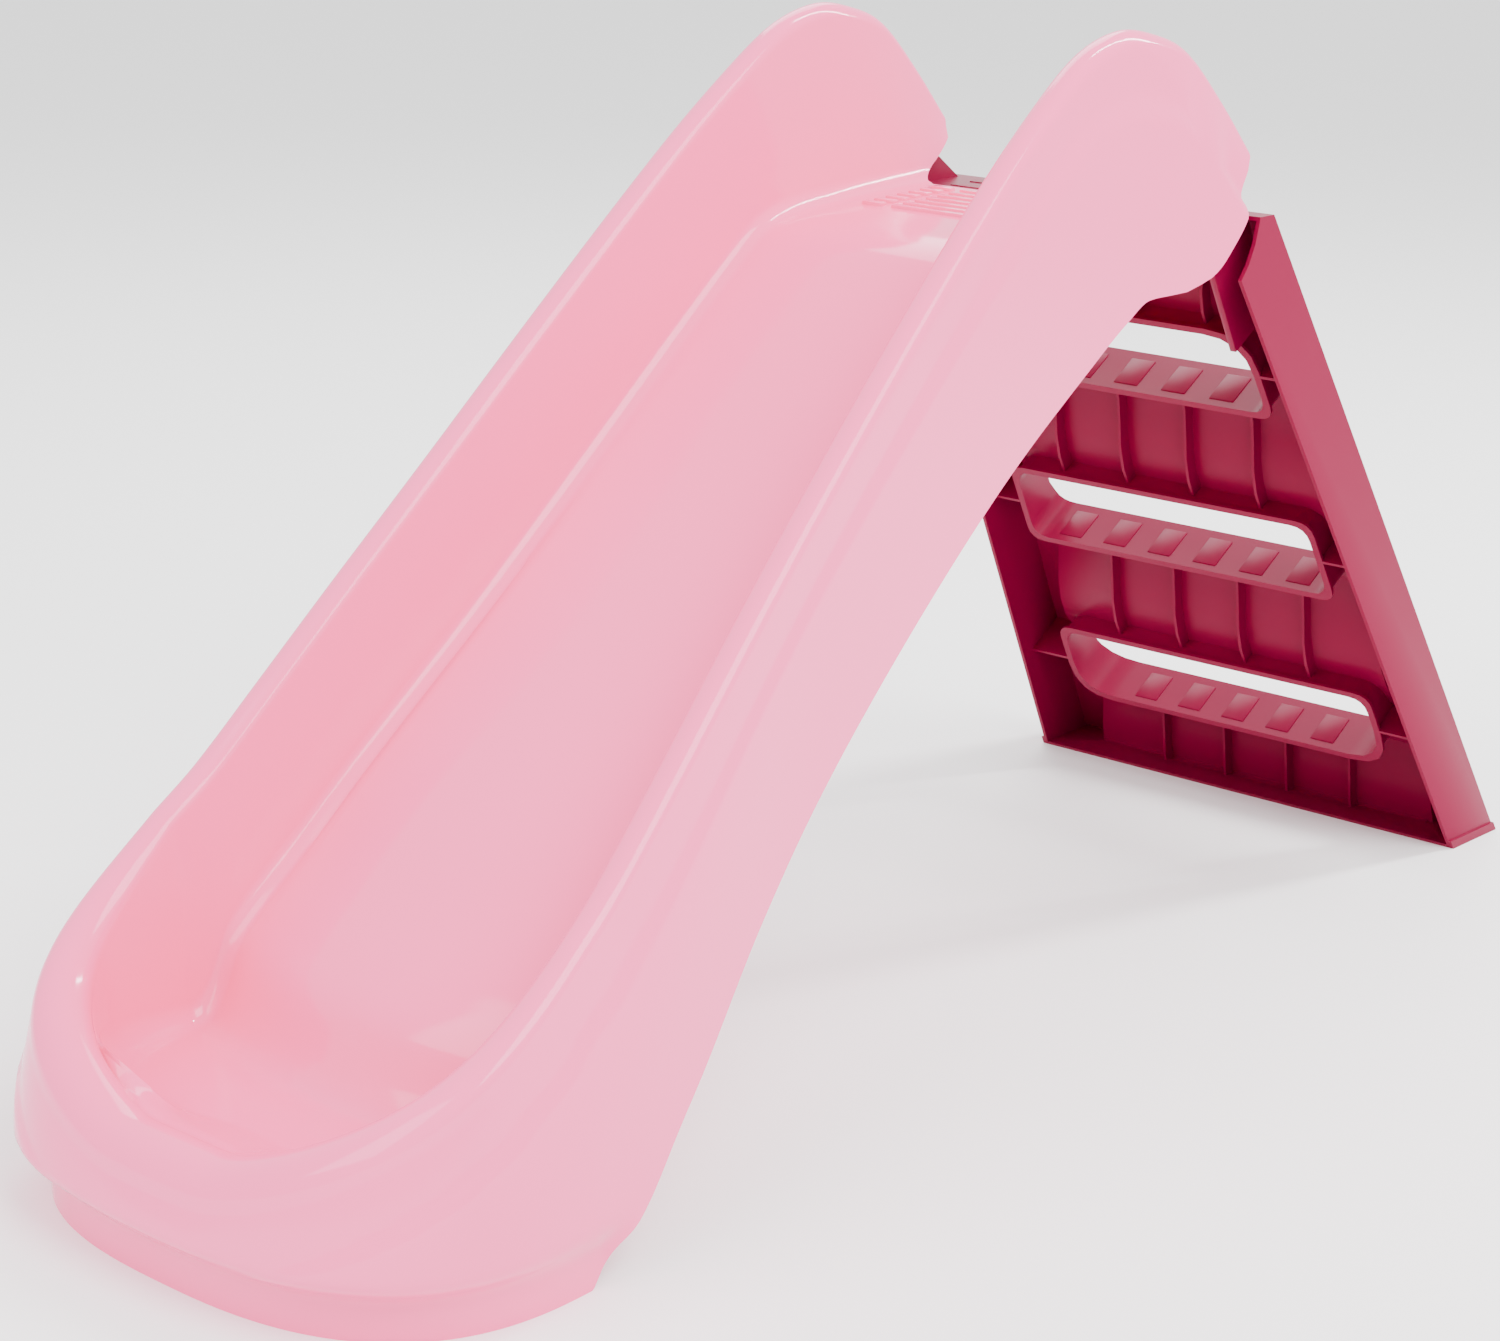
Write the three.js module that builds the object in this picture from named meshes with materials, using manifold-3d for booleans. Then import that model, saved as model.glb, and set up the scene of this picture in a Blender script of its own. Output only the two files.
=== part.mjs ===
// A fold-up toddler slide in millimetres: a moulded chute and a moulded climbing ladder on one hinge.
// +X runs forward to the exit, +Y is the slide's left, +Z is up, and the ground is z = 0.
// Lengths along X are measured from just behind the ladder's feet; the finished slide is then centred.
// The ladder is open (in use) as built; it folds forward under the chute about the hinge axis.
import * as THREE from "three";
import { mergeVertices } from "three/addons/utils/BufferGeometryUtils.js";
import Module from "manifold-3d";

// Overall heights and lengths
const DECK_HEIGHT = 540;        // seat at the top of the chute
const CHUTE_RUN = 741;          // rear tips of the rims to the centre of the rounded exit
const RIM_ABOVE_DECK = 136;     // highest point of the side rims
const TIP_ABOVE_DECK = 42;      // rear tips of the rims
const NOSE_RIM_HEIGHT = 209;    // rims where the rounded exit starts
const RUNOUT_HEIGHT = 70;       // flat part at the exit
const LIP_HEIGHT = 88;          // top of the front lip
const NOSE_REACH = 157;         // exit's foot beyond the nose centre
const CREST_REACH = 142;        // lip's crest beyond the nose centre
const DECK_SETBACK = 54;        // rear edge of the seat, forward of the rims' rear tips

// Chute section
const CHUTE_WALL = 3.5;
const RIM_RADIUS = 11;
const LIP_RADIUS = 24;
const RIM_HALF_REAR = 132;      // rim crest to the centre plane, at the seat
const RIM_HALF_EXIT = 176;      // and at the exit
const WALL_LEAN = 10;           // how far the inner wall leans in from rim to floor
const FLOOR_FILLET = 8;
const LIP_FILLET = 40;
const SKIRT_DRAFT = 0.02;
const PANEL_DROP = 42;          // soft step in the skirt, below the rim
const PANEL_SOFTNESS = 7;
const PANEL_STEP = 2.5;
const SKIRT_FLARE = 11;         // outward swell low on the skirt near the exit
const FLARE_START = 0.68;       // where that swell begins, as a share of the run
const FLARE_DEPTH = 110;        // drop below the rim at which it is full
const LIP_FLARE = 9;
const LIP_FLARE_DEPTH = 40;
const BASE_HALF = 194;          // half width of the exit's foot
const BASE_HEIGHT = 28;         // height of that foot, recessed below the swell
const BASE_SQUARENESS = 2.6;
const NOSE_SQUARENESS = 3;
const REAR_BLEND = 150;         // length over which sections straighten from the slanted rear edges
const NOSE_STEPS = 16;

// Ladder
const LADDER_LEAN = THREE.MathUtils.degToRad(30.5);
const STEP_DROP = 4;            // top step below the seat
const LADDER_DEPTH = 57;
const LADDER_HALF_FOOT = 203;
const RAIL_OVERHANG = 18;       // rails at the top step, out past the rim crests
const LADDER_WALL = 3;
const RAIL_FOOT = 50;           // rail width at the foot and at the top
const RAIL_TOP = 28;
const OPENINGS = 3;
const TREAD_DEPTH = 44;
const FIRST_TREAD = 104;
const LAST_RISE = 154;          // last tread to the top step, along the ladder
const OPENING_HEIGHT = 70;
const TREAD_LIP = 2.5;          // rim standing round the front of each opening
const RISER_DISH = 22;
const DISH_MARGIN = 8;
const RIB = 2.5;
const RIB_HEIGHT = 11;
const RIB_COLUMNS = 4;
const ARCH_RISE = 16;
const ARCH_MARGIN = 45;         // arch end to the outside of a rail
const FOOT_FLARE = 2.5;         // lip round each rail's foot
const FOOT_FLARE_HEIGHT = 7;

// Hinge
const HINGE_SETBACK = 77;       // axis forward of the rims' rear tips
const HINGE_RISE = 14;          // axis above the seat
const HINGE_DEPTH = 76.4;       // axis in front of the ladder's rear face
const LOBE_DROP = 60;           // skirt's lobe below the axis
const EAR_INSET = 8;            // ear's inner face inside the rim crest
const EAR_THICKNESS = 5;
const EAR_RADIUS = 20;
const SWEEP_CLEARANCE = 2;
const PIN_RADIUS = 4;
const PIN_REACH = [7, 10];      // pin past the ear's inner and outer faces
const BOSS_RADIUS = 9;
const RUNNING_GAP = 0.4;

// Places that follow from those sizes
const CHUTE_REAR = 347;
const NOSE_CENTRE = CHUTE_REAR + CHUTE_RUN;
const DECK_REAR = CHUTE_REAR + DECK_SETBACK;
const PEAK_HEIGHT = DECK_HEIGHT + RIM_ABOVE_DECK;
const REAR_TIP_HEIGHT = DECK_HEIGHT + TIP_ABOVE_DECK;
const HINGE = new THREE.Vector3(CHUTE_REAR + HINGE_SETBACK, 0, DECK_HEIGHT + HINGE_RISE);
const LOBE_FOOT = HINGE.z - LOBE_DROP;
const SWEEP_RADIUS = Math.hypot(HINGE_SETBACK, REAR_TIP_HEIGHT - HINGE.z) + SWEEP_CLEARANCE;
const EAR_INNER = RIM_HALF_REAR - EAR_INSET;
const EAR_OUTER = EAR_INNER + EAR_THICKNESS;
const PIN_INNER = EAR_INNER - PIN_REACH[0];
const PIN_OUTER = EAR_OUTER + PIN_REACH[1];
const LEAN_SLOPE = Math.tan(LADDER_LEAN);
const LADDER_HEIGHT = DECK_HEIGHT - STEP_DROP;
const LADDER_LENGTH = LADDER_HEIGHT / Math.cos(LADDER_LEAN);
const LADDER_FOOT_X = HINGE.x - HINGE_DEPTH / Math.cos(LADDER_LEAN) - HINGE.z * LEAN_SLOPE;
const LADDER_HALF_TOP = RIM_HALF_REAR + RAIL_OVERHANG;
const STEP_PITCH = (LADDER_LENGTH - FIRST_TREAD - LAST_RISE) / (OPENINGS - 1);
const ARCH_HALF = LADDER_HALF_FOOT - ARCH_MARGIN;

const PINK = new THREE.MeshStandardMaterial({ color: 0xf7b3c4, roughness: 0.28, metalness: 0 });
const RASPBERRY = new THREE.MeshStandardMaterial({ color: 0xa8264e, roughness: 0.32, metalness: 0 });
const STEEL = new THREE.MeshStandardMaterial({ color: 0xb9bcc0, roughness: 0.35, metalness: 1 });

const { clamp, lerp, smoothstep } = THREE.MathUtils;

const wasm = await Module();
wasm.setup();

// Manifold helpers ------------------------------------------------------------------------------

function solid(geometry) {
  const bare = geometry.clone();
  bare.deleteAttribute("normal");
  bare.deleteAttribute("uv");
  const merged = mergeVertices(bare, 1e-4);
  const triangles = [];
  const index = merged.index.array;
  for (let i = 0; i < index.length; i += 3) {
    const [a, b, c] = index.slice(i, i + 3);
    if (a !== b && b !== c && c !== a) {
      triangles.push(a, b, c);
    }
  }
  return new wasm.Manifold(new wasm.Mesh({
    numProp: 3,
    vertProperties: new Float32Array(merged.attributes.position.array),
    triVerts: new Uint32Array(triangles),
  }));
}

function geometryOf(body) {
  const mesh = body.getMesh();
  const geometry = new THREE.BufferGeometry();
  geometry.setAttribute("position", new THREE.BufferAttribute(new Float32Array(mesh.vertProperties), 3));
  geometry.setIndex(new THREE.BufferAttribute(new Uint32Array(mesh.triVerts), 1));
  geometry.computeVertexNormals();
  return geometry;
}

const union = (bodies) => bodies.reduce((sum, body) => sum.add(body));

// Chute curves ----------------------------------------------------------------------------------

// Smooth curve through [x, value] points, held level past its ends.
function curveThrough(points) {
  const slopes = points.map((point, i) => {
    const before = points[Math.max(i - 1, 0)];
    const after = points[Math.min(i + 1, points.length - 1)];
    return (after[1] - before[1]) / (after[0] - before[0]);
  });
  return (x) => {
    const t = clamp(x, points[0][0], points.at(-1)[0]);
    const i = Math.min(points.findLastIndex((point) => point[0] <= t), points.length - 2);
    const [x0, y0] = points[i];
    const [x1, y1] = points[i + 1];
    const span = x1 - x0;
    const q = (t - x0) / span;
    const h = q * q * (3 - 2 * q);
    return lerp(y0, y1, h) + span * q * (1 - q) * ((1 - q) * slopes[i] - q * slopes[i + 1]);
  };
}

// Curve along the chute from [share of the run, share from the low value to the high one] points.
function alongRun(low, high, points) {
  return curveThrough(points.map(([run, share]) => [CHUTE_REAR + run * CHUTE_RUN, lerp(low, high, share)]));
}

const tipShare = (REAR_TIP_HEIGHT - NOSE_RIM_HEIGHT) / (PEAK_HEIGHT - NOSE_RIM_HEIGHT);
const rimTop = alongRun(NOSE_RIM_HEIGHT, PEAK_HEIGHT, [
  [0, tipShare], [0.058, 0.891], [0.113, 0.964], [0.161, 0.991], [0.208, 1], [0.262, 0.979], [0.316, 0.929],
  [0.409, 0.82], [0.568, 0.606], [0.781, 0.304], [0.888, 0.148], [0.954, 0.054], [1, 0],
]);
const rimHalf = alongRun(RIM_HALF_REAR, RIM_HALF_EXIT, [
  [0, 0.045], [0.193, -0.045], [0.355, 0.045], [0.672, 0.432], [0.887, 0.818], [1, 1],
]);
const skirtFoot = alongRun(0, LOBE_FOOT, [
  [0, 1], [0.173, 1], [0.209, 0.976], [0.255, 0.937], [0.424, 0.783], [0.623, 0.555], [0.767, 0.354],
  [0.853, 0.215], [0.895, 0.152], [0.935, 0.087], [0.976, 0.038], [0.995, 0],
]);
const floorTop = alongRun(RUNOUT_HEIGHT, DECK_HEIGHT, [
  [DECK_SETBACK / CHUTE_RUN, 1], [0.219, 0.994], [0.314, 0.975], [0.358, 0.928], [0.526, 0.698],
  [0.686, 0.477], [0.82, 0.298], [0.887, 0.204], [0.93, 0.147], [0.958, 0.1], [0.976, 0.038],
  [0.989, 0.009], [1, 0],
]);

// Rear edge of the skirt round its lobe: [share of the way up to the rim, distance past the rear tips].
const RIM_SEAT = 12;
const SKIRT_TOP_REAR = REAR_TIP_HEIGHT - RIM_SEAT;
const skirtRear = curveThrough([[0, 83], [0.079, 53], [0.263, 31], [0.618, 7], [0.776, 16], [1, 8]]
  .map(([share, x]) => [lerp(LOBE_FOOT, SKIRT_TOP_REAR, share), CHUTE_REAR + x]));

const SKIRT_SHARES = [0, 0.12, 0.26, 0.5, 1];
const RIM_STEPS = 4;
const FILLET_STEPS = 3;
const FIRST_RIM = SKIRT_SHARES.length + 1;
const LAST_RIM = FIRST_RIM + RIM_STEPS;
const FLOOR_START = LAST_RIM + FILLET_STEPS + 3;

// Half of a section as [distance out from the middle, height] points, from the skirt's foot over the rim
// to the floor's middle. depth 0 is the outside face, and depth CHUTE_WALL the hidden one.
function halfSection(shape, depth) {
  const { crest, top, foot, rim, outer, floor, fillet, lean } = shape;
  const shoulder = top - rim;
  const heights = SKIRT_SHARES.map((share) => lerp(foot, shoulder - PANEL_DROP, share));
  const points = [...heights, shoulder - PANEL_DROP + PANEL_SOFTNESS, shoulder]
    .map((z) => [outer(z) - depth, z]);
  const fullness = clamp((top - floor) / (2.4 * rim), 0, 1);
  const steepness = smoothstep(fullness, 0.35, 1);
  const lastAngle = lerp(1.7, Math.PI, fullness);
  for (let i = 1; i <= RIM_STEPS; i += 1) {
    const angle = lastAngle * i / RIM_STEPS;
    points.push([crest + (rim - depth) * Math.cos(angle), shoulder + (rim - depth) * Math.sin(angle)]);
  }
  const [endOut, endHeight] = points.at(-1);
  const wallFoot = crest - rim - lean;
  const flat = wallFoot - fillet;
  const steep = [[lerp(crest - rim, wallFoot, 0.5) + depth, lerp(shoulder, floor + fillet, 0.5)]];
  for (let i = 0; i <= FILLET_STEPS; i += 1) {
    const angle = (Math.PI / 2) * i / FILLET_STEPS;
    const turn = fillet + depth;
    steep.push([flat + turn * Math.cos(angle), floor + fillet - turn * Math.sin(angle)]);
  }
  steep.forEach(([n, z], i) => {
    const q = (i + 1) / steep.length;
    const gentle = [lerp(endOut, flat, q), lerp(endHeight, floor - depth, smoothstep(q, 0, 1))];
    points.push([lerp(gentle[0], n, steepness), lerp(gentle[1], z, steepness)]);
  });
  [0.5, 0].forEach((q) => points.push([flat * q, floor - depth]));
  return points;
}

// Skirt face: slight draft, a soft step below the rim and a swell near the exit.
function skirtFace(crest, rim, top, flare, flareDepth) {
  return (z) => {
    const below = top - rim - z;
    const step = PANEL_STEP * smoothstep(below, PANEL_DROP - PANEL_SOFTNESS, PANEL_DROP);
    const swell = flare * Math.sin((Math.PI / 2) * clamp(below / flareDepth, 0, 1));
    return crest + rim + SKIRT_DRAFT * below + step + swell;
  };
}

// The recessed foot: base distance below, skirt face above.
function withFoot(face, base, strength) {
  return (z) => lerp(face(z), base, strength * (1 - smoothstep(z, BASE_HEIGHT * 0.8, BASE_HEIGHT * 1.6)));
}

function sideShape(x) {
  const crest = rimHalf(x);
  const top = rimTop(x);
  const flare = SKIRT_FLARE * smoothstep(x, CHUTE_REAR + FLARE_START * CHUTE_RUN, NOSE_CENTRE);
  const face = skirtFace(crest, RIM_RADIUS, top, flare, FLARE_DEPTH);
  const outer = withFoot(face, BASE_HALF, smoothstep(x, NOSE_CENTRE - 40, NOSE_CENTRE - 10));
  return { crest, top, foot: skirtFoot(x), rim: RIM_RADIUS, outer, floor: floorTop(x),
    fillet: FLOOR_FILLET, lean: WALL_LEAN };
}

// Plan distance of the rounded exit from its centre, at an angle from the forward direction.
function nosePlan(angle, reach, half, squareness) {
  const ahead = Math.abs(Math.cos(angle) / reach) ** squareness;
  const aside = Math.abs(Math.sin(angle) / half) ** squareness;
  return (ahead + aside) ** (-1 / squareness);
}

function noseShape(angle) {
  const side = clamp(Math.abs(angle) / (Math.PI / 2), 0, 1);
  const soft = Math.sin((1 - side) * Math.PI / 2);
  const top = lerp(LIP_HEIGHT, NOSE_RIM_HEIGHT, Math.max((side - 0.15) / 0.85, 0) ** 1.5);
  const rim = lerp(RIM_RADIUS, LIP_RADIUS, soft);
  const crest = nosePlan(angle, CREST_REACH, RIM_HALF_EXIT, NOSE_SQUARENESS);
  const base = nosePlan(angle, NOSE_REACH, BASE_HALF, BASE_SQUARENESS);
  const flare = lerp(SKIRT_FLARE, LIP_FLARE, soft);
  const face = skirtFace(crest, rim, top, flare, lerp(FLARE_DEPTH, LIP_FLARE_DEPTH, soft));
  return { crest, top, foot: 0, rim, outer: withFoot(face, base, 1), floor: RUNOUT_HEIGHT,
    fillet: lerp(FLOOR_FILLET, LIP_FILLET, soft), lean: lerp(WALL_LEAN, 0, soft) };
}

// Stations along one side, closer together where the chute bends.
const BENDS = [[0, 0.48, 14], [0.48, 0.87, 5], [0.87, 0.99, 6]];
const STATIONS = BENDS.flatMap(([from, to, count]) =>
  Array.from({ length: count }, (_, i) => CHUTE_REAR + CHUTE_RUN * lerp(from, to, i / count)))
  .concat([CHUTE_REAR + CHUTE_RUN * 0.99]);

// Where each point of the section ends at the rear: [x, height], or [x] on the rim itself.
const TIP_ROUND = 6;

function rearEnds() {
  const ends = [];
  for (let j = 0; j <= FIRST_RIM; j += 1) {
    const z = lerp(LOBE_FOOT, SKIRT_TOP_REAR, j / FIRST_RIM);
    ends.push([skirtRear(z), z]);
  }
  for (let j = FIRST_RIM + 1; j <= LAST_RIM; j += 1) {
    ends.push([CHUTE_REAR + TIP_ROUND * Math.abs(Math.cos(Math.PI * (j - FIRST_RIM) / RIM_STEPS))]);
  }
  for (let j = LAST_RIM + 1; j < FLOOR_START; j += 1) {
    const share = (j - LAST_RIM) / (FLOOR_START - 1 - LAST_RIM);
    ends.push([lerp(CHUTE_REAR + TIP_ROUND, DECK_REAR, share), lerp(SKIRT_TOP_REAR, DECK_HEIGHT, share)]);
  }
  return ends.concat([[DECK_REAR], [DECK_REAR]]);
}

// Distance out of the inner wall at a height.
function wallOut(shape, z, depth) {
  const { crest, rim, lean, fillet, floor, top } = shape;
  const rise = clamp((z - floor - fillet) / (top - rim - floor - fillet), 0, 1);
  const straight = lerp(crest - rim - lean, crest - rim, rise);
  const low = clamp((floor + fillet - z) / (fillet + depth), 0, 1);
  return straight + depth - (fillet + depth) * (1 - Math.sqrt(1 - low * low));
}

// The section at a station, drawn back near the rear so that it ends on the slanted rear edges.
function sidePoints(station, hand, depth) {
  const pull = 1 - smoothstep(station, CHUTE_REAR, CHUTE_REAR + REAR_BLEND);
  return rearEnds().map(([endX, endZ], j) => {
    const x = station + pull * (endX - CHUTE_REAR);
    const shape = sideShape(x);
    let [n, z] = halfSection(shape, depth)[j];
    if (endZ !== undefined && pull > 0) {
      const drop = j > LAST_RIM ? depth * (j - LAST_RIM) / (FLOOR_START - 1 - LAST_RIM) : 0;
      z = lerp(z, endZ - drop, pull);
      n = j > LAST_RIM ? wallOut(shape, z, depth) : shape.outer(z) - depth;
    }
    return [x, hand * n, z];
  });
}

function nosePoints(angle, depth) {
  return halfSection(noseShape(angle), depth)
    .map(([n, z]) => [NOSE_CENTRE + n * Math.cos(angle), n * Math.sin(angle), z]);
}

function chuteRows(depth) {
  const rows = STATIONS.map((x) => sidePoints(x, 1, depth));
  for (let i = 0; i <= NOSE_STEPS; i += 1) {
    rows.push(nosePoints(Math.PI / 2 - Math.PI * i / NOSE_STEPS, depth));
  }
  [...STATIONS].reverse().forEach((x) => rows.push(sidePoints(x, -1, depth)));
  return rows;
}

// Closed shell between the outside rows and the inside rows.
function shellOf(outside, inside) {
  const position = [];
  const quad = (a, b, c, d) => position.push(...a, ...b, ...c, ...a, ...c, ...d);
  const last = outside.length - 1;
  const end = outside[0].length - 1;
  for (let i = 0; i < last; i += 1) {
    for (let j = 0; j < end; j += 1) {
      quad(outside[i][j], outside[i][j + 1], outside[i + 1][j + 1], outside[i + 1][j]);
      quad(inside[i][j], inside[i + 1][j], inside[i + 1][j + 1], inside[i][j + 1]);
    }
    quad(outside[i][0], outside[i + 1][0], inside[i + 1][0], inside[i][0]);
  }
  for (let j = 0; j < end; j += 1) {
    quad(outside[0][j], inside[0][j], inside[0][j + 1], outside[0][j + 1]);
    quad(outside[last][j], outside[last][j + 1], inside[last][j + 1], inside[last][j]);
  }
  const geometry = new THREE.BufferGeometry();
  geometry.setAttribute("position", new THREE.Float32BufferAttribute(position, 3));
  return geometry;
}

// Cylinder along Y between two distances from the centre plane.
function crossBar(radius, from, to, hand) {
  const bar = new THREE.CylinderGeometry(radius, radius, to - from, 24);
  bar.translate(0, (from + to) / 2 * hand, 0);
  bar.translate(HINGE.x, 0, HINGE.z);
  return solid(bar);
}

function makeChute() {
  let body = solid(shellOf(chuteRows(0), chuteRows(CHUTE_WALL)));
  const shape = sideShape(HINGE.x);
  const inner = shape.crest - shape.rim - shape.lean + 1;
  for (const hand of [1, -1]) {
    const bosses = [
      crossBar(BOSS_RADIUS, inner, EAR_INNER - RUNNING_GAP, hand),
      crossBar(BOSS_RADIUS, EAR_OUTER + RUNNING_GAP, shape.outer(HINGE.z) - 1, hand),
    ];
    body = body.add(union(bosses));
    const [from, to] = [PIN_INNER - RUNNING_GAP, PIN_OUTER + RUNNING_GAP];
    body = body.subtract(crossBar(PIN_RADIUS + RUNNING_GAP, from, to, hand));
  }
  return geometryOf(body);
}

// Ladder, built upright: x forward from its rear plane, z up its length -----------------------------

const ladderHalf = (z) => lerp(LADDER_HALF_FOOT, LADDER_HALF_TOP, z / LADDER_LENGTH);
const openingHalf = (z) => ladderHalf(z) - lerp(RAIL_FOOT, RAIL_TOP, z / LADDER_LENGTH);
const REACH = 60;               // how far cutting shapes run past the ladder

// Extrude a front outline, given as [y, z] points, through the depth.
function frontSlab(outline, from, to) {
  const shape = new THREE.Shape(outline.map(([y, z]) => new THREE.Vector2(y, z)));
  const slab = new THREE.ExtrudeGeometry(shape, { depth: to - from, bevelEnabled: false, curveSegments: 6 });
  slab.rotateX(Math.PI / 2);
  slab.rotateZ(Math.PI / 2);
  slab.translate(from, 0, 0);
  return solid(slab);
}

// Extrude a side outline, given as [x, z] points, across the width.
function sideSlab(outline, from, to) {
  const shape = new THREE.Shape(outline.map(([x, z]) => new THREE.Vector2(x, z)));
  const slab = new THREE.ExtrudeGeometry(shape, { depth: to - from, bevelEnabled: false, curveSegments: 6 });
  slab.rotateX(Math.PI / 2);
  slab.translate(0, to, 0);
  return solid(slab);
}

// Points of a closed outline with its corners rounded by their own radii.
function rounded(corners, steps = 4) {
  const points = [];
  corners.forEach(([y, z, radius], i) => {
    const here = new THREE.Vector2(y, z);
    const before = new THREE.Vector2(...corners.at(i - 1).slice(0, 2)).sub(here);
    const after = new THREE.Vector2(...corners[(i + 1) % corners.length].slice(0, 2)).sub(here);
    const reach = Math.min(radius, before.length() * 0.48, after.length() * 0.48);
    const start = before.normalize().multiplyScalar(reach).add(here);
    const end = after.normalize().multiplyScalar(reach).add(here);
    const curve = new THREE.QuadraticBezierCurve(start, here, end);
    curve.getPoints(reach > 0 ? steps : 1).forEach((point) => points.push([point.x, point.y]));
  });
  return points;
}

// Front face of the dish behind each riser: deepest below, swelling back to the tread above it.
function dishLine(offset) {
  const points = [[offset, -REACH]];
  for (let step = 0; step <= OPENINGS; step += 1) {
    const lip = FIRST_TREAD + step * STEP_PITCH;
    const low = lip - STEP_PITCH + OPENING_HEIGHT;
    const high = Math.min(lip, LADDER_LENGTH);
    for (let i = 0; i <= 6; i += 1) {
      const q = i / 6;
      points.push([offset + RISER_DISH * (1 - smoothstep(q, 0.15, 0.8)), lerp(low, high, q)]);
    }
  }
  points.push([offset, LADDER_LENGTH + REACH]);
  return points;
}

// The dishes' volume behind that face, between the side strips.
function dishes(offset, grow) {
  const low = -REACH;
  const high = LADDER_LENGTH + REACH;
  const wide = LADDER_HALF_FOOT + REACH;
  const behind = sideSlab([[low, low], ...dishLine(offset), [low, high]].reverse(), -wide, wide);
  const half = (z) => openingHalf(z) + DISH_MARGIN + grow;
  const between = [[-half(low), low], [half(low), low], [half(high), high], [-half(high), high]];
  return behind.intersect(frontSlab(between, -REACH, LADDER_DEPTH + REACH));
}

const WIDE_CORNER = 36;
const SLOT_CORNER = 14;

function openingOutline(step, grow) {
  const low = FIRST_TREAD + step * STEP_PITCH;
  const high = low + OPENING_HEIGHT;
  const bottomRadius = step === 0 ? WIDE_CORNER : SLOT_CORNER;
  const topRadius = step === OPENINGS - 1 ? WIDE_CORNER : SLOT_CORNER;
  return rounded([
    [-openingHalf(low) - grow, low - grow, bottomRadius], [openingHalf(low) + grow, low - grow, bottomRadius],
    [openingHalf(high) + grow, high + grow, topRadius], [-openingHalf(high) - grow, high + grow, topRadius],
  ]);
}

function ladderOutline(inset) {
  const foot = -REACH;
  const head = LADDER_LENGTH + REACH;
  return [
    [-ladderHalf(foot) + inset, foot], [ladderHalf(foot) - inset, foot],
    [ladderHalf(head) - inset, head], [-ladderHalf(head) + inset, head],
  ];
}

// Everything between the level ground and the level top step, lowered by a wall where asked.
function levelSlab(lower, upper) {
  const reach = LADDER_LENGTH;
  const at = (x, z) => [x, z / Math.cos(LADDER_LEAN) + x * LEAN_SLOPE];
  return sideSlab([at(-reach, lower), at(reach, lower), at(reach, upper), at(-reach, upper)], -reach, reach);
}

// Level box wall of the front outline [left, right] by [low, high], given as distances and heights.
const panel = (left, right, low, high) => [[left, low], [right, low], [right, high], [left, high]];

// Low to high distance from the centre plane of a band on one side.
const band = (near, far, hand) => (hand > 0 ? [near, far] : [-far, -near]);

function openingRims() {
  const rims = [];
  for (let step = 0; step < OPENINGS; step += 1) {
    rims.push(frontSlab(openingOutline(step, LADDER_WALL), 0, TREAD_DEPTH));
    rims.push(frontSlab(openingOutline(step, LADDER_WALL + TREAD_LIP), TREAD_DEPTH - TREAD_LIP, TREAD_DEPTH));
    const z = FIRST_TREAD + step * STEP_PITCH + OPENING_HEIGHT / 2;
    for (const hand of [1, -1]) {
      const [left, right] = band(openingHalf(z) + LADDER_WALL / 2, ladderHalf(z) - LADDER_WALL / 2, hand);
      rims.push(frontSlab(panel(left, right, z, z + RIB), 0, TREAD_DEPTH));
    }
  }
  return rims;
}

// Ribs standing off the risers, all with the risers' own dished outline.
function riserRibs() {
  const low = -REACH;
  const crests = dishLine(LADDER_WALL + RIB_HEIGHT);
  const outline = [...crests, [0, LADDER_LENGTH + REACH], [0, low]];
  const pitch = 2 * openingHalf(LADDER_LENGTH) / RIB_COLUMNS;
  return Array.from({ length: RIB_COLUMNS }, (_, i) => {
    const y = pitch * (i - (RIB_COLUMNS - 1) / 2);
    return sideSlab(outline, y - RIB / 2, y + RIB / 2);
  });
}

// Wall over the arch between the feet, and walls up beside the ears.
function edgeWalls() {
  const low = FIRST_TREAD + (OPENINGS - 1) * STEP_PITCH + OPENING_HEIGHT;
  const overArch = panel(-ARCH_HALF, ARCH_HALF, ARCH_RISE - LADDER_WALL, ARCH_RISE + LADDER_WALL);
  const walls = [frontSlab(overArch, 0, TREAD_DEPTH)];
  for (const hand of [1, -1]) {
    const [left, right] = band(EAR_INNER, EAR_OUTER, hand);
    walls.push(frontSlab(panel(left, right, low, LADDER_LENGTH + REACH), 0, LADDER_DEPTH));
  }
  return walls;
}

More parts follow.
